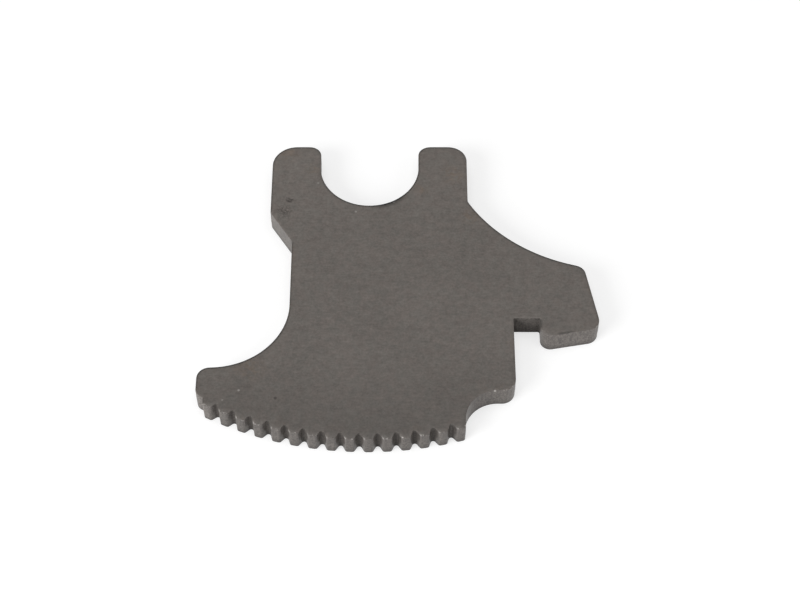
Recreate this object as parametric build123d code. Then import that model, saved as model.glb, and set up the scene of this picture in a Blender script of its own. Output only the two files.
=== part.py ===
# Sector gear: one flat steel plate, blanked in a single stroke. A round seat between two prongs
# takes the pivot tube, a row of short teeth runs along an arc about that pivot, and a hook with a
# slot reaches out on the right.
#
# Frame: origin on the pivot axis at the underside of the plate, +Y towards the open mouth of the
# seat, +X towards the hook, +Z up through the thickness. The plate lies flat on Z = 0.

from build123d import *
from math import cos, radians, sin, sqrt, tan
import os

# Driving sizes, in millimetres and degrees
plate_thickness = 5.0
upper_bevel = 0.25  # where blanking rolls the upper edges off
lower_bevel = 0.12  # where the burr is ground off the lower edges

# Pivot seat and its two prongs
pivot_diameter = 20.0
seat_clearance = 0.05  # all round the pivot tube
prong_height = 5.5  # pivot axis up to the prong tips
prong_reach = 20.0  # pivot axis to the outer side of either prong
mouth_round = 2.3
left_prong_round = 4.95
right_prong_round = 3.75
right_prong_drop = 9.0  # pivot axis down to where the right prong meets the long hollow

# Left side, from the prong down to the waist
shoulder_drop = 11.9  # pivot axis down to where the left prong starts to slope in
shoulder_height = 7.35  # height of that slope
shoulder_round = 0.8
waist_reach = 15.4  # pivot axis to the waist

# Toothed edge, an arc about the pivot axis
tip_radius = 65.85
tooth_depth = 1.25
tooth_count = 15
tooth_pitch = 3.09  # angle from one tooth to the next
first_tooth_angle = 27.53  # from straight below the pivot round to the first tooth, on the left
flank_angle = 30.0  # half the angle between the two sides of a gap
root_round = 0.45
tip_round = 0.6

# Wing, which carries the first teeth
wing_end_land = 1.25  # bottom of the outermost gap to the end of the wing
wing_height = 6.05
wing_top_round = 2.4
wing_heel_round = 1.8

# Foot, beyond the last tooth
last_tooth_land = 0.8  # middle of the last tooth's tip to the flat that ends the row
foot_rise = 8.2  # height of that flat
foot_length = 9.7
heel_round = 6.35  # hollow between the flat and the foot
foot_round = 2.6

# Hook and its slot
slot_width = 5.25
slot_depth = 4.55  # from the toe of the hook in to the closed end
slot_corner_round = 0.35
toe_drop = 42.7  # pivot axis down to the toe of the hook, beside the slot
toe_round = 2.0
sole_length = 11.85  # lower edge of the hook
sole_angle = 10.4  # by which that edge rises outwards
sole_end_round = 2.5
back_length = 15.15  # outer edge of the hook
back_angle = 10.35  # by which that edge leans in
nose_round = 2.3
sweep_radius = 33.75  # long hollow from the hook up to the right prong
sweep_end_round = 1.5

# Hardness test mark in the upper face, on the left prong
test_mark_reach = 16.2  # pivot axis to the mark, to the left
test_mark_drop = 8.6
test_mark_diameter = 1.5
test_mark_depth = 0.15

# Points nearer together than this are one point
near = 1e-4

# Sizes that follow from these
seat_radius = pivot_diameter / 2 + seat_clearance
root_radius = tip_radius - tooth_depth
last_tooth_angle = first_tooth_angle - (tooth_count - 1) * tooth_pitch
end_gap_angle = first_tooth_angle + tooth_pitch / 2


def at(reach, drop):
    """Point of the outline, by its reach to the right of the pivot axis and its drop below it."""
    return Vector(reach, -drop)


def on_circle(radius, angle):
    """Point at a radius from the pivot, at an angle from straight below it round to the left."""
    return at(-radius * sin(radians(angle)), radius * cos(radians(angle)))


def drop_on_circle(radius, reach):
    """How far below the pivot axis a circle about it lies, at a reach to one side."""
    return sqrt(radius**2 - reach**2)


def rounded(shape, corners, radius):
    """The flat shape with its corners at the given points rounded off.

    Where the two runs that meet at a corner are too short for the radius, it shrinks to take up
    nearly the whole of the shorter one.
    """
    nearly_whole = 0.999
    picked = []
    for point in corners:
        corner = shape.vertices().sort_by_distance(point)[0]
        one, other = sorted(shape.edges(), key=lambda run: run.distance_to(corner))[:2]
        half_turn = (180 - angle_at(corner, one, other)) / 2
        longest = nearly_whole * min(one.length, other.length)
        radius = min(radius, longest / tan(radians(half_turn)))
        picked.append(corner)
    return fillet(picked, radius)


def angle_at(corner, one, other):
    """Angle between two runs that meet at a corner, in degrees."""
    ways = []
    for run in (one, other):
        starts_here = (run.position_at(0) - Vector(corner)).length < near
        ways.append(run.tangent_at(0) if starts_here else -run.tangent_at(1))
    return ways[0].get_angle(ways[1])


# Corners of the blank before they are rounded, anticlockwise as seen from above
prong_right = at(prong_reach, -prong_height)
prong_left = at(-prong_reach, -prong_height)
shoulder_top = at(-prong_reach, shoulder_drop)
shoulder_foot = at(-waist_reach, shoulder_drop + shoulder_height)

wing_reach = root_radius * sin(radians(end_gap_angle)) + wing_end_land
wing_heel = at(-wing_reach, drop_on_circle(root_radius, wing_reach))
wing_top = wing_heel + Vector(0, wing_height)
neck = Vector(shoulder_foot.X, wing_top.Y)
neck_round = neck.X - wing_top.X - wing_top_round

teeth_start = at(-wing_reach, drop_on_circle(tip_radius, wing_reach))
heel_reach = last_tooth_land - tip_radius * sin(radians(last_tooth_angle))
teeth_end = at(heel_reach, drop_on_circle(tip_radius, heel_reach))
heel = teeth_end + Vector(0, foot_rise)
foot = heel + Vector(foot_length, 0)

slot_left = Vector(foot.X, slot_depth - toe_drop)
slot_right = slot_left + Vector(slot_width, 0)
toe = slot_right - Vector(0, slot_depth)
sole_end = toe + Vector(sole_length, sole_length * tan(radians(sole_angle)))
nose = sole_end + Vector(0, back_length).rotate(Axis.Z, back_angle)
sweep_end = at(prong_reach, right_prong_drop)

# Blank, with the mouth of the pivot seat cut out
left_side = Polyline(
    sweep_end, prong_right, prong_left, shoulder_top, shoulder_foot, neck, wing_top, teeth_start
)
toothed_edge = ThreePointArc(teeth_start, at(0, tip_radius), teeth_end)
right_side = Polyline(teeth_end, heel, foot, slot_left, slot_right, toe, sole_end, nose)
sweep = RadiusArc(nose, sweep_end, sweep_radius)
blank = make_face(left_side + toothed_edge + right_side + sweep)

mouth = Rectangle(2 * seat_radius, prong_height, align=(Align.CENTER, Align.MIN))
blank -= Circle(seat_radius) + mouth

# Gaps between the teeth: straight sides that run tangent into a round bottom, drawn with +Y
# outwards from the middle of that bottom and turned into place about the pivot axis
flank_start = root_round * Vector(cos(radians(flank_angle)), -sin(radians(flank_angle)))
flank_end = flank_start + 2 * tooth_depth * Vector(tan(radians(flank_angle)), 1)
gap_bottom = ThreePointArc(
    flank_start, Vector(0, -root_round), Vector(-flank_start.X, flank_start.Y)
)
gap_sides = Polyline(
    Vector(-flank_start.X, flank_start.Y),
    Vector(-flank_end.X, flank_end.Y),
    flank_end,
    flank_start,
)
gap = Pos(0, root_radius + root_round) * make_face(gap_bottom + gap_sides)
for number in range(tooth_count):
    blank -= Rot(0, 0, 180 - end_gap_angle + number * tooth_pitch) * gap

# Past the outermost gap the wing ends on the root circle
wing_end = Polyline(
    at(0, 0),
    on_circle(2 * tip_radius, end_gap_angle),
    on_circle(2 * tip_radius, 90),
    close=True,
)
blank -= make_face(wing_end) - Circle(root_radius)

# Round corners
tips = [corner for corner in blank.vertices() if abs(Vector(corner).length - tip_radius) < near]
blank = rounded(blank, tips, tip_round)
blank = rounded(blank, [prong_left], left_prong_round)
blank = rounded(blank, [prong_right], right_prong_round)
blank = rounded(blank, [at(-seat_radius, -prong_height), at(seat_radius, -prong_height)], mouth_round)
blank = rounded(blank, [shoulder_top, shoulder_foot], shoulder_round)
blank = rounded(blank, [wing_top], wing_top_round)
blank = rounded(blank, [wing_heel], wing_heel_round)
blank = rounded(blank, [neck], neck_round)
blank = rounded(blank, [heel], heel_round)
blank = rounded(blank, [foot], foot_round)
blank = rounded(blank, [slot_left, slot_right], slot_corner_round)
blank = rounded(blank, [toe], toe_round)
blank = rounded(blank, [sole_end], sole_end_round)
blank = rounded(blank, [nose], nose_round)
blank = rounded(blank, [sweep_end], sweep_end_round)

# Plate, with the light bevels of its upper and lower edges
plate = extrude(blank, plate_thickness)
plate = chamfer(plate.edges().group_by(Axis.Z)[-1], upper_bevel)
plate = chamfer(plate.edges().group_by(Axis.Z)[0], lower_bevel)

# The test mark is the dent of a ball
ball_radius = (test_mark_diameter**2 / 4 + test_mark_depth**2) / (2 * test_mark_depth)
mark = at(-test_mark_reach, test_mark_drop)
plate -= Pos(mark.X, mark.Y, plate_thickness - test_mark_depth + ball_radius) * Sphere(ball_radius)

os.makedirs("parts", exist_ok=True)
export_step(plate, "parts/sector_gear.step")
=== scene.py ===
# A sector gear, blanked from one flat steel plate, lying on a pale studio floor.
# Sizes are in millimetres up to the point where a mesh or a light is made, which takes metres.

from math import ceil, cos, log2, pi, radians, sin

import bpy
import numpy as np
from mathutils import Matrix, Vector, geometry


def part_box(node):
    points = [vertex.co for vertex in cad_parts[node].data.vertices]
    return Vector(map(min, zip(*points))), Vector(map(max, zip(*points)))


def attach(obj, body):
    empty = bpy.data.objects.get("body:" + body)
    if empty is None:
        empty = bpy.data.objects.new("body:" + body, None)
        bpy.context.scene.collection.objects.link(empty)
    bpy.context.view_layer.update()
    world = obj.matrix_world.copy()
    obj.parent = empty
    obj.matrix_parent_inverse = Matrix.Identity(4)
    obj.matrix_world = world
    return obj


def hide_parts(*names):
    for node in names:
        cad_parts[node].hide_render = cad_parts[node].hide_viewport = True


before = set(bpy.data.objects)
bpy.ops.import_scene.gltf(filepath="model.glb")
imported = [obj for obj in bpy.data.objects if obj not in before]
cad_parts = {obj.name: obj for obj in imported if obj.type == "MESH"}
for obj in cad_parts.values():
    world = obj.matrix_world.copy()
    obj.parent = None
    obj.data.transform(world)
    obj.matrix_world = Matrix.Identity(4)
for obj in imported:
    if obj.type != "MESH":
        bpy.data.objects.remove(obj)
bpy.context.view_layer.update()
mm = 0.001


# Plate
# One piece of hardened strip steel, stamped out in a single stroke. The punch draws the upper
# edges down, most at the tips of the teeth, shears the upper part of the wall and breaks off the
# rest.
plate_low, plate_high = (np.array(corner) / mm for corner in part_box("sector_gear"))
thickness = plate_high[2] - plate_low[2]

# The outline is drawn in short steps, and in shorter ones round a bend.
outline_step = 0.17
outline_turn = radians(7)


def triangles_of(mesh):
    """Corners of every triangle of a mesh in millimetres, as an array of triangle, corner, axis."""
    mesh.calc_loop_triangles()
    corners = np.empty(len(mesh.vertices) * 3)
    mesh.vertices.foreach_get("co", corners)
    index = np.empty(len(mesh.loop_triangles) * 3, int)
    mesh.loop_triangles.foreach_get("vertices", index)
    return corners.reshape(-1, 3)[index].reshape(-1, 3, 3) / mm


def wall_foot(triangles):
    """Ends of the lowest edges of the walls, in the plane: an array of edge, end, axis.

    A triangle belongs to a wall if it stands upright over more than half of the thickness.
    """
    slight_lean, same_height = 0.01, 0.001
    facing = np.cross(triangles[:, 1] - triangles[:, 0], triangles[:, 2] - triangles[:, 0])
    upright = np.abs(facing[:, 2]) < slight_lean * np.linalg.norm(facing, axis=1)
    tall = np.ptp(triangles[:, :, 2], axis=1) > thickness / 2
    walls = triangles[upright & tall]
    edges = np.stack([walls, np.roll(walls, -1, axis=1)], axis=2).reshape(-1, 2, 3)
    lowest = edges[:, :, 2] < walls[:, :, 2].min() + same_height
    return edges[lowest.all(axis=1)][:, :, :2]


def joined_up(edges):
    """The edges' starts in the order in which they follow on from each other.

    Each edge's follower is the one that starts where it ends. Doubling the stride again and again
    counts how many edges lie between each one and the last.
    """
    apart = np.linalg.norm(edges[:, None, 1] - edges[None, :, 0], axis=2)
    follower = apart.argmin(axis=1)
    last = np.flatnonzero(follower == 0)[0]
    follower[last] = last
    still_to_go = (follower != np.arange(len(edges))).astype(int)
    for _ in range(ceil(log2(len(edges)))):
        still_to_go = still_to_go + still_to_go[follower]
        follower = follower[follower]
    return edges[np.argsort(-still_to_go), 0]


def unit(vectors):
    """The vectors over their own lengths."""
    return vectors / np.linalg.norm(vectors, axis=-1, keepdims=True)


def smoothed(corners, step, turn):
    """A closed line through the corners, with a cubic between each two of them.

    It leaves a corner along the mean of its two chords, each weighted by its squared length, which
    keeps a straight run straight. No part is longer than the step or turns more than the turn.
    """
    ahead = np.roll(corners, -1, axis=0)
    chord = ahead - corners
    length = np.linalg.norm(chord, axis=1, keepdims=True)
    heading = unit(length * chord + np.roll(length * chord, 1, axis=0))
    heading_ahead = np.roll(heading, -1, axis=0)
    turned = np.arccos(np.clip((heading * heading_ahead).sum(axis=1), -1, 1))
    parts = np.ceil(np.maximum(length[:, 0] / step, turned / turn)).astype(int).clip(1)
    run = np.repeat(np.arange(len(corners)), parts)
    t = ((np.arange(len(run)) - (np.cumsum(parts) - parts)[run]) / parts[run])[:, None]
    return (
        (2 * t**3 - 3 * t**2 + 1) * corners[run]
        + (t**3 - 2 * t**2 + t) * length[run] * heading[run]
        + (3 * t**2 - 2 * t**3) * ahead[run]
        + (t**3 - t**2) * length[run] * heading_ahead[run]
    )


cad_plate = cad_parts["sector_gear"]
outline = smoothed(joined_up(wall_foot(triangles_of(cad_plate.data))), outline_step, outline_turn)
outline = outline.clip(plate_low[:2], plate_high[:2])
onward = unit(np.roll(outline, -1, axis=0) - np.roll(outline, 1, axis=0))
outward = np.stack([onward[:, 1], -onward[:, 0]], axis=1)

# Upper face, with its drawn-down edges
edge_roll = 0.12
roll_reach = 0.7
roll_falloff = 4.2
edge_round = 0.07


def by_parts(measure, points, part_size=1000):
    """The measure of many points, worked out for one part of them at a time to spare memory."""
    parts = np.array_split(points, len(points) // part_size + 1)
    return np.concatenate([measure(part) for part in parts])


def steel_around(points, reach):
    """Share of steel about each point, from 0 to 1, where nearer places count more.

    It is the turning number of the outline about the point, blurred over the reach: each step of
    the outline adds its outward part over its distance, times 1 - exp(-distance squared over twice
    the reach squared), and the sum is divided by a full turn.
    """
    not_quite_zero = 1e-12
    step = np.roll(outline, -1, axis=0) - outline
    middle = outline + step / 2

    def share(part):
        """The sum over all steps for each point of a part, over a full turn."""
        away = middle - part[:, None]
        square = (away**2).sum(axis=2) + not_quite_zero
        outward_part = away[:, :, 0] * step[:, 1] - away[:, :, 1] * step[:, 0]
        return (outward_part / square * -np.expm1(-square / (2 * reach**2))).sum(axis=1) / (2 * pi)

    return by_parts(share, points)


def nearest(points):
    """Which point of the outline is nearest to each point, and how far off it is."""

    def closest(part):
        """The point of the outline at the least squared distance from each point of a part."""
        return ((part[:, None] - outline) ** 2).sum(axis=2).argmin(axis=1)

    index = by_parts(closest, points)
    return index, np.linalg.norm(points - outline[index], axis=1)


def drawn_down(points):
    """How far the punch has drawn the upper face down: the most where the least steel backs it."""
    return edge_roll * (2 * (1 - steel_around(points, roll_reach)).clip(0)) ** roll_falloff


# The test mark on the left prong is the dent of a ball.
mark_place = np.array([-16.2, -8.6])
mark_radius = 0.75
mark_depth = 0.15
ball = (mark_radius**2 + mark_depth**2) / (2 * mark_depth)


def dented(points):
    """Depth of the test mark: how far the ball's cap reaches below the face."""
    off_centre = np.linalg.norm(points - mark_place, axis=1).clip(max=mark_radius)
    return np.sqrt(ball**2 - off_centre**2) - (ball - mark_depth)


def honeycomb(spacing, low, high):
    """Points of a grid of even triangles that fills a box.

    Its rows lie the spacing times sin 60 degrees apart, and every other one is shifted by half of
    the spacing.
    """
    across = np.arange(low[0], high[0], spacing)
    up = np.arange(low[1], high[1], spacing * sin(pi / 3))
    x, y = np.meshgrid(across, up)
    x = x + np.where(np.arange(len(up)) % 2, spacing / 2, 0)[:, None]
    return np.stack([x.ravel(), y.ravel()], axis=1)


def inside(points):
    """Whether each point is inside: a level ray from it crosses an odd number of steps."""
    ahead = np.roll(outline, -1, axis=0)

    def odd(part):
        """Whether an odd number of steps cross each point's level farther along than it."""
        level = part[:, None, 1]
        point, step = np.nonzero((outline[:, 1] > level) != (ahead[:, 1] > level))
        share = (part[point, 1] - outline[step, 1]) / (ahead[step, 1] - outline[step, 1])
        beyond = outline[step, 0] + share * (ahead[step, 0] - outline[step, 0]) > part[point, 0]
        return np.bincount(point[beyond], minlength=len(part)) % 2 == 1

    return by_parts(odd, points)


def inner_points(spacing, least, most=np.inf):
    """Points of a honeycomb inside the outline whose distance from it is between least and most."""
    points = honeycomb(spacing, plate_low[:2], plate_high[:2])
    points = points[inside(points)]
    distance = nearest(points)[1]
    return points[(distance > least) & (distance < most)]


def filled(ring, inner, ring_start, inner_start):
    """Triangles over a ring and the points inside it, numbered for the whole mesh, facing up."""
    only_inside, same_point = 1, 1e-6
    flat = [Vector(point) for point in np.vstack([ring, inner])]
    order = np.arange(len(ring))
    edges = np.stack([order, np.roll(order, -1)], axis=1).tolist()
    made = geometry.delaunay_2d_cdt(flat, edges, [], only_inside, same_point)
    source = np.array([came_from[0] for came_from in made[3]])
    number = np.where(source < len(ring), source + ring_start, source - len(ring) + inner_start)
    return number[np.array(made[2])]


# The face is finely divided in a band along the rim and round the mark, and coarsely elsewhere.
rim_band, rim_gap, rim_spacing = 2.0, 0.12, 0.32
middle_gap, middle_spacing = 0.3, 0.9
mark_reach, mark_gap, mark_spacing = 1.3 * mark_radius, 0.4 * mark_radius, 0.1
mark_box = 1.4 * mark_radius

near_rim = inner_points(rim_spacing, edge_round + rim_gap, rim_band)
in_middle = inner_points(middle_spacing, rim_band + middle_gap)
upper_inner = np.vstack([near_rim, in_middle])
from_mark = np.linalg.norm(upper_inner - mark_place, axis=1)
upper_inner = upper_inner[from_mark > mark_reach + mark_gap]
round_mark = honeycomb(mark_spacing, mark_place - mark_box, mark_place + mark_box)
round_mark = round_mark[np.linalg.norm(round_mark - mark_place, axis=1) < mark_reach]
upper_inner = np.vstack([upper_inner, round_mark])
upper_height = thickness - drawn_down(upper_inner) - dented(upper_inner)

under_gap, under_spacing = 0.9, 1.8
under_inner = inner_points(under_spacing, under_gap)

# Rim, from the drawn-down edge over the sheared and the broken wall to the bevel at the foot
foot_bevel = 0.12
undercut = 0.06
break_height = 2.0
break_waviness = 0.35
break_waves = 9, 90
round_steps = 4
wall_steps = 14


def ripple(seed, around, waves):
    """Smooth unevenness from about -1 to 1 along a closed line.

    It is the sum of sines that go round the line a whole number of times, each at its own phase.
    """
    sines, usual_height = 12, 5
    draw = np.random.default_rng(seed)
    count = draw.integers(*waves, size=sines)
    phase = draw.uniform(0, 2 * pi, size=sines)
    return np.sin(2 * pi * around[..., None] * count + phase).sum(axis=-1) / usual_height


turn = np.linspace(0, pi / 2, round_steps + 1)[:, None]
down = np.linspace(0, 1, wall_steps + 1)[1:, None]
step_length = np.linalg.norm(np.roll(outline, -1, axis=0) - outline, axis=1)
around = (np.cumsum(step_length) - step_length) / step_length.sum()

edge_ring = outline - edge_round * outward
edge_top = thickness - drawn_down(edge_ring)
wall_top = edge_top - edge_round
break_line = break_height + break_waviness * ripple(4, around, break_waves)

wall_height = wall_top + (foot_bevel - wall_top) * down
broken = ((break_line - wall_height) / break_line).clip(0, 1)
inset = np.vstack([
    edge_round * (1 - np.sin(turn)) * np.ones_like(around),
    undercut * broken * (2 - broken),
    [(foot_bevel + undercut) * np.ones_like(around)],
])
height = np.vstack([
    edge_top - edge_round * (1 - np.cos(turn)),
    wall_height,
    [np.zeros_like(around)],
])
rim = np.concatenate([outline - inset[..., None] * outward, height[..., None]], axis=2)

# One closed mesh: the rim's rows, the upper face and the underside share their corners.
rows, columns = height.shape
rim_count = rows * columns
number = np.arange(rim_count).reshape(rows, columns)
beside = np.roll(number, -1, axis=1)
rim_quads = np.stack([number[1:], beside[1:], beside[:-1], number[:-1]], axis=-1).reshape(-1, 4)
under_start = rim_count + len(upper_inner)
upper_faces = filled(rim[0, :, :2], upper_inner, 0, rim_count)
under_faces = filled(rim[-1, :, :2], under_inner, rim_count - columns, under_start)[:, ::-1]
corners = np.vstack([
    rim.reshape(-1, 3),
    np.column_stack([upper_inner, upper_height]),
    np.column_stack([under_inner, np.zeros(len(under_inner))]),
])

crease_angle = radians(38)
plate_mesh = bpy.data.meshes.new("gear_plate")
faces = rim_quads.tolist() + upper_faces.tolist() + under_faces.tolist()
plate_mesh.from_pydata(corners * mm, [], faces)
plate_mesh.validate()
plate_mesh.shade_smooth()
plate_mesh.set_sharp_from_angle(angle=crease_angle)


# What the finish goes by is stored in the mesh: where the wall is, how near the upper edge is, how
# much steel stands round a place in the plan, close by and farther out, and which way the wall
# faces. Rear walls face away from the teeth, and those that face left count half, unless they turn
# towards the teeth. Along the row of teeth a wall faces right at 1 and left at -1.
ridge_half = 0.38
root_reach = 0.8
pocket_reach = 2.8
left_share = 0.5
left_fade = 8


def over_mesh(name, on_rim, on_upper, on_under):
    """Stores one number for each corner of the mesh, in the order of its three parts."""
    on_rim = np.broadcast_to(on_rim, (rows, columns))
    values = np.concatenate([on_rim.ravel(), on_upper, on_under])
    plate_mesh.attributes.new(name, "FLOAT", "POINT").data.foreach_set("value", values)


ones = np.ones_like(around)
none_above, none_below = np.zeros(len(upper_inner)), np.zeros(len(under_inner))
upper_nearest, upper_distance = nearest(upper_inner)

wall_share = np.vstack([np.sin(turn) ** 2 * ones, np.ones_like(wall_height), [ones]])
over_mesh("wall", wall_share, none_above, none_below)

below_edge = np.vstack([0 * turn * ones, wall_top - wall_height, [thickness * ones]])
ridge_above = (1 - (upper_distance - edge_round) / ridge_half).clip(0)
over_mesh("ridge", (1 - below_edge / ridge_half).clip(0), ridge_above, none_below)
over_mesh("edge_distance", inset, upper_distance, nearest(under_inner)[1])

enclosed_above = steel_around(upper_inner, root_reach)
over_mesh("enclosed", steel_around(outline, root_reach), enclosed_above, none_below + 1)
over_mesh("pocket", steel_around(outline, pocket_reach), none_above, none_below)

facing_left = (-outward[:, 0]).clip(0) * (1 + left_fade * outward[:, 1]).clip(0, 1)
rear = (outward[:, 1] + left_share * facing_left).clip(0, 1)
over_mesh("rear", rear, rear[upper_nearest], none_below)

along_row = (outward * unit(outline[:, ::-1] * [-1, 1])).sum(axis=1)
over_mesh("along_row", along_row, along_row[upper_nearest], none_below)

plate = bpy.data.objects.new("gear_plate", plate_mesh)
bpy.context.scene.collection.objects.link(plate)
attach(plate, "root")
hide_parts("sector_gear")

# Its finish is a thin dull phosphate coat, grey-brown and finely mottled, stained a little near the
# edges and rubbed through in places. The walls are lighter, streaked where they are sheared and
# crumbly where they broke off.


class Field:
    """A value, colour or vector that varies over a surface: the output of a node.

    Python's operators join values through Math nodes. New nodes go into the tree begun last.
    """

    tree = None

    def __init__(self, output):
        self.output = output

    @classmethod
    def begin(cls, owner):
        """Empties the nodes of a material or a world and makes it the one that is worked on."""
        owner.use_nodes = True
        owner.node_tree.nodes.clear()
        cls.tree = owner.node_tree

    @classmethod
    def node(cls, kind, settings=None, inputs=None, output=0):
        """Adds a node of a kind, makes its settings, then fills its inputs by name or number."""
        made = cls.tree.nodes.new("ShaderNode" + kind)
        for name, value in (settings or {}).items():
            setattr(made, name, value)
        for name, value in (inputs or {}).items():
            if isinstance(value, Field):
                cls.tree.links.new(value.output, made.inputs[name])
            else:
                made.inputs[name].default_value = value
        return Field(made.outputs[output]) if made.outputs else None

    @classmethod
    def math(cls, operation, *values):
        """A Math node's operation on fields and numbers."""
        return cls.node("Math", {"operation": operation}, dict(enumerate(values)))

    def __add__(self, other):
        return self.math("ADD", self, other)

    def __radd__(self, other):
        return self.math("ADD", other, self)

    def __sub__(self, other):
        return self.math("SUBTRACT", self, other)

    def __rsub__(self, other):
        return self.math("SUBTRACT", other, self)

    def __mul__(self, other):
        return self.math("MULTIPLY", self, other)

    def __rmul__(self, other):
        return self.math("MULTIPLY", other, self)

    def ramp(self, low, high):
        """0 at low, 1 at high and an S-curve between them."""
        limits = {"Value": self, "From Min": low, "From Max": high}
        return self.node("MapRange", {"interpolation_type": "SMOOTHSTEP"}, limits)


steel = bpy.data.materials.new("plate_steel")
Field.begin(steel)
place = Field.node("TexCoord", output="Object")
across, up, high = (Field.node("SeparateXYZ", None, {0: place}, output=axis) for axis in range(3))
flat = Field.node("VectorMath", {"operation": "MULTIPLY"}, {0: place, 1: (1, 1, 0)})
from_pivot = Field.node("VectorMath", {"operation": "LENGTH"}, {0: flat}, output="Value")
wall, ridge, from_edge, enclosed, pocket, rear, along_row = (
    Field.node("Attribute", {"attribute_name": name}, output="Fac")
    for name in ("wall", "ridge", "edge_distance", "enclosed", "pocket", "rear", "along_row")
)
face = 1 - wall


def grain(size, stretch=(1, 1, 1), detail=2.0, roughness=0.5, shift=(0, 0, 0)):
    """Noise from 0 to 1 with lumps about the size in millimetres, drawn out by stretch."""
    scale = [1 / (size * mm * along) for along in stretch]
    at = Field.node("Mapping", None, {"Vector": place, "Scale": scale, "Location": shift})
    sockets = {"Vector": at, "Scale": 1.0, "Detail": detail, "Roughness": roughness}
    return Field.node("TexNoise", None, sockets)


def spot(x, y, radius, softness=0.5):
    """1 in a round spot on the plate's plan, 0 outside it, with a soft edge."""
    ends = {0: flat, 1: (x * mm, y * mm, 0)}
    away = Field.node("VectorMath", {"operation": "DISTANCE"}, ends, output="Value")
    return 1 - away.ramp(radius * (1 - softness) * mm, radius * (1 + softness) * mm)


def blend(one, other, share):
    """One colour turning into another as the share goes from 0 to 1."""
    return Field.node("Mix", {"data_type": "RGBA"}, {0: share, 6: one, 7: other}, output=2)


fine = grain(0.5, roughness=0.65)
mottle = grain(1.3, shift=(3, 1, 2))
cloud = grain(8, shift=(7, 4, 1))
drawn = grain(0.45, stretch=(4, 1, 1), shift=(1, 9, 5))
tint = grain(1.8, detail=3, shift=(0, 6, 6)).ramp(0.35, 0.65)
streaks = grain(0.35, stretch=(1, 1, 8), detail=3, shift=(2, 5, 8))
crumbs = grain(0.38, roughness=0.7, shift=(8, 8, 3))

ruddy_colour = (0.1365, 0.1192, 0.1072, 1)
olive_colour = (0.1330, 0.1205, 0.1088, 1)
wall_colour = (0.167, 0.150, 0.137, 1)
stain_colour = (0.147, 0.112, 0.086, 1)
# Bare steel, which also colours the painted highlights on the corners of the teeth.
bare_and_highlight_colour = (0.66, 0.63, 0.60, 1)

# Painted light: the face is a little lighter towards the prongs than by the teeth, the most on the
# left prong, standing in for light that falls off towards the teeth.
# Painted shade darkens the walls of the teeth, the most on the flanks that face right, away from
# the lamp on the left, and the wall above the foot. The end of the wing carries a painted sheen
# that makes it lighter. Painted shade darkens the walls of the tooth gaps and the slot.
tooth_band = 63.6 * mm, 64.6 * mm
corner_band = 64.9 * mm, 65.7 * mm
first_tooth = -30.5 * mm, -29 * mm
last_tooth = 16.8 * mm, 17.8 * mm

painted_falloff = 0.76 + 0.21 * up.ramp(-66 * mm, -43 * mm) + 0.06 * up.ramp(-30 * mm, 4 * mm)
painted_falloff = painted_falloff + 0.06 * spot(-16, -2, 9, 0.9)
face_tone = painted_falloff * (0.17 + 0.68 * fine + 0.50 * mottle + 0.24 * cloud + 0.24 * drawn)
sheared = high.ramp(1.8 * mm, 3.4 * mm)
wall_tone = 1 + (0.4 + 0.5 * sheared) * (streaks - 0.5) + (2.7 - 0.6 * sheared) * (crumbs - 0.5)
# Painted shade: the walls grow darker towards their foot, where less light reaches them.
wall_tone = wall_tone * (0.76 + 0.24 * high.ramp(0.3 * mm, 2.0 * mm))
toothed = from_pivot.ramp(*tooth_band) * across.ramp(*first_tooth)
right_facing_flanks = toothed * along_row.ramp(-0.1, 0.35) * (1 - across.ramp(*last_tooth))
painted_wall_shading = 0.12 * toothed + 0.08 * right_facing_flanks
painted_wall_shading = painted_wall_shading + 0.13 * spot(21.5, -57.5, 4.0) - 0.16 * spot(-31.8, -57, 2.4)
# Painted shade in the tooth gaps and the slot, which also makes the walls there rougher and less
# metallic.
hollow_shade = 0.14 * enclosed.ramp(0.54, 0.72) + 0.27 * pocket.ramp(0.56, 0.68)
# Painted shade: a dark line along the foot of every wall, where it meets the floor.
foot_shadow_line = 0.4 * (1 - high.ramp(0.1 * mm, 0.5 * mm))
tone = face * face_tone + wall * wall_tone * (1 - painted_wall_shading) * (1 - hollow_shade) * (1 - foot_shadow_line)

# Brown stains: a faint one here and there along the edges, and six plainer ones on the wing, round
# the seat and by the hollow on the right.
near_edge = 1 - from_edge.ramp(0.3, 3.0)
stained = 0.35 * near_edge * grain(3.2, detail=3, shift=(5, 5, 0)).ramp(0.5, 0.75)
for x, y, radius in (
    (-22.3, -49.9, 2.2), (-16.9, 4.0, 1.8), (-11.6, -0.5, 1.2),
    (17.3, -1.9, 1.9), (10.6, -6.2, 1.2), (20.4, -13.0, 1.5),
):
    stained = stained + 0.65 * spot(x, y, radius, 0.9)
stained = stained * grain(0.8, detail=3, shift=(6, 0, 4)).ramp(0.3, 0.7) * face

# Painted shade: a dark line along the upper edges that face away from the teeth, half as dark along
# those that face left, and a darker band along the edge of the seat. Dark grime lies in a pit above
# the teeth, in and below the test mark and along the outer edge of the hook.
in_pit = spot(-17.4, -56.8, 0.3)
in_mark = spot(*mark_place, 0.7) * drawn.ramp(0.3, 0.6)
below_mark = spot(-17.2, -11.6, 1.3, 0.9) * fine.ramp(0.62, 0.4)
seat_edge_shade = spot(4.6, -9.6, 3.2, 0.7) * (1 - from_edge.ramp(0.4, 1.5)) * face
on_hook = spot(38.3, -41.4, 1.6, 0.5) * (1 - from_edge.ramp(0.2, 0.6)) * face
grime_and_edge_shade = 0.9 * rear * ridge + 0.5 * in_pit + 0.6 * in_mark + 0.45 * below_mark
grime_and_edge_shade = grime_and_edge_shade + 0.5 * seat_edge_shade + 0.45 * on_hook
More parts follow.
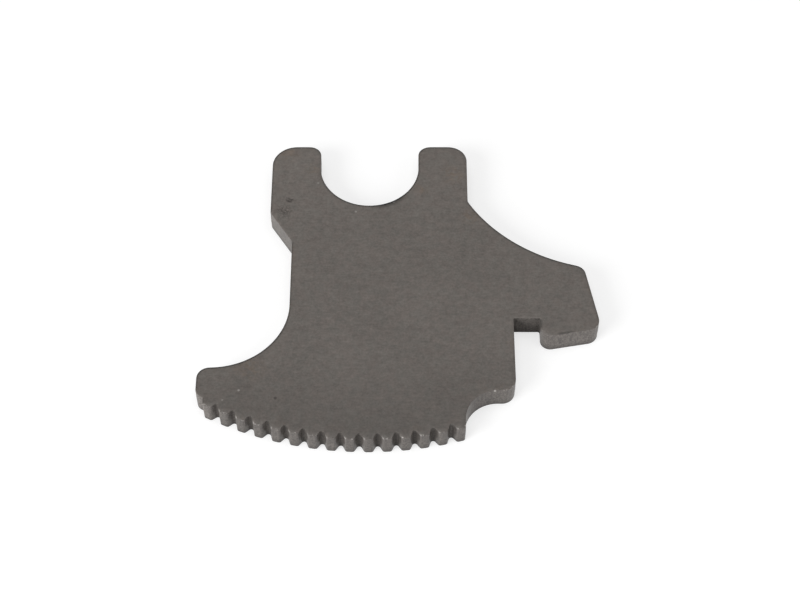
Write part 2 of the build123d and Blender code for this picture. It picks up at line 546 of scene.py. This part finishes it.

# Bare steel shows in flecks along the upper edges and in a few small nicks in the face. A painted
# highlight of bare steel lies on the corners of the teeth that face left, towards the lamp.
flecks = grain(0.42, shift=(4, 2, 9)).ramp(0.55, 0.68)
corner_highlight = toothed * from_pivot.ramp(*corner_band) * (1 - along_row.ramp(-0.5, -0.1))
corner_highlight = 0.7 * corner_highlight * mottle.ramp(0.25, 0.6)
rubbed_and_highlit = ridge * (flecks + corner_highlight) * (1 - enclosed.ramp(0.3, 0.55)) * (1 - rear)
for x, y, radius, strength in (
    (-24.4, -55.0, 0.22, 0.4), (-27.4, -57.2, 0.2, 0.25), (-2.7, -11.7, 0.22, 0.35),
    (-10.5, -4.2, 0.24, 0.2), (5.0, -9.2, 0.22, 0.2), (24.3, -55.1, 0.2, 0.9),
    (31.2, -38.6, 0.3, 0.3),
):
    rubbed_and_highlit = rubbed_and_highlit + strength * spot(x, y, radius) * high.ramp(4.2 * mm, 4.6 * mm)

skin = blend(blend(ruddy_colour, olive_colour, tint), stain_colour, stained)
skin = blend(skin, wall_colour, wall)
skin = Field.node("VectorMath", {"operation": "SCALE"}, {0: skin, "Scale": tone * (1 - grime_and_edge_shade)})
skin = blend(skin, bare_and_highlight_colour, 0.7 * rubbed_and_highlit)

relief = face * (0.6 * fine + 0.4 * mottle) + wall * (0.3 * streaks + 1.6 * crumbs)
relief_depth = 0.035
bump = Field.node("Bump", None, {"Height": relief, "Distance": relief_depth * mm, "Strength": 1.0})

shell = {
    "Base Color": skin,
    "Roughness": 0.52 + 0.12 * mottle - wall * (0.22 - 0.16 * crumbs.ramp(0.3, 0.7) - 1.7 * hollow_shade),
    "Metallic": 0.12 + 0.28 * wall * (1 - 2.4 * hollow_shade) + 0.3 * rubbed_and_highlit,
    "Normal": bump,
    "Specular IOR Level": 0.5,
}
Field.node("OutputMaterial", None, {"Surface": Field.node("BsdfPrincipled", None, shell)})
plate_mesh.materials.append(steel)


# Floor
# A sheet of white card, laid flat and larger than any view of the plate. It looks white to the
# camera and in the steel's gloss, and it takes the plate's soft shadow.
floor_half = 1500.0
card_shade = 0.45
card_glow = 0.62

floor_mesh = bpy.data.meshes.new("floor")
floor_corners = np.array([[-1, -1, 0], [1, -1, 0], [1, 1, 0], [-1, 1, 0]]) * floor_half * mm
floor_mesh.from_pydata(floor_corners, [], [[0, 1, 2, 3]])
floor = bpy.data.objects.new("floor", floor_mesh)
bpy.context.scene.collection.objects.link(floor)

card = bpy.data.materials.new("white_card")
Field.begin(card)
seen = Field.node("LightPath", output="Is Camera Ray")
seen = seen + Field.node("LightPath", output="Is Glossy Ray")
matt = Field.node("BsdfDiffuse", None, {"Color": (card_shade, card_shade, card_shade, 1)})
unlit = Field.node("Emission", None, {"Strength": 0.0})
glow = Field.node("Emission", None, {"Strength": card_glow})
lift = Field.node("MixShader", None, {0: seen, 1: unlit, 2: glow})
Field.node("OutputMaterial", None, {"Surface": Field.node("AddShader", None, {0: matt, 1: lift})})
floor_mesh.materials.append(card)


# Studio light
# A light tent, even and soft all round, with a large panel low on the left, a smaller one in front
# and one overhead.
tent_level = 0.3
tent = bpy.data.worlds.new("tent")
bpy.context.scene.world = tent
Field.begin(tent)
tent_light = Field.node("Background", None, {"Color": (1, 1, 1, 1), "Strength": tent_level})
Field.node("OutputWorld", None, {"Surface": tent_light})

plate_middle = Vector((5, -30, 0)) * mm


def panel(name, azimuth, elevation, distance, size, power):
    """A square panel lamp that faces the middle of the plate from a distance.

    It stands in front of the plate, turned round it by the bearing to the right and raised by the
    elevation, both in degrees.
    """
    a, e = radians(azimuth), radians(elevation)
    way = Vector((sin(a) * cos(e), -cos(a) * cos(e), sin(e)))
    lamp = bpy.data.lights.new(name, "AREA")
    lamp.shape = "SQUARE"
    lamp.size = size * mm
    lamp.energy = power
    holder = bpy.data.objects.new(name, lamp)
    holder.location = plate_middle + way * distance * mm
    holder.rotation_euler = way.to_track_quat("Z", "Y").to_euler()
    bpy.context.scene.collection.objects.link(holder)


panel("left", azimuth=-52, elevation=30, distance=900, size=500, power=5.6)
panel("right", azimuth=65, elevation=35, distance=900, size=500, power=1.2)
panel("front", azimuth=0, elevation=25, distance=900, size=500, power=0.5)
panel("overhead", azimuth=0, elevation=88, distance=900, size=700, power=2.3)


# Camera
# It stands in front of the plate, a little to the right of the seat, and looks down on it at the
# photograph's angle.
view_height = radians(54)
view_distance = 392.16
view_aim = Vector((6.24, -33.83, thickness))
camera = bpy.data.objects.new("camera", bpy.data.cameras.new("camera"))
camera.data.lens = 90
camera.data.sensor_width = 36
view_way = Vector((0, -cos(view_height), sin(view_height)))
camera.location = (view_aim + view_way * view_distance) * mm
camera.rotation_euler = (pi / 2 - view_height, 0, 0)
bpy.context.scene.collection.objects.link(camera)
bpy.context.scene.camera = camera

bpy.context.scene.view_settings.view_transform = "Standard"
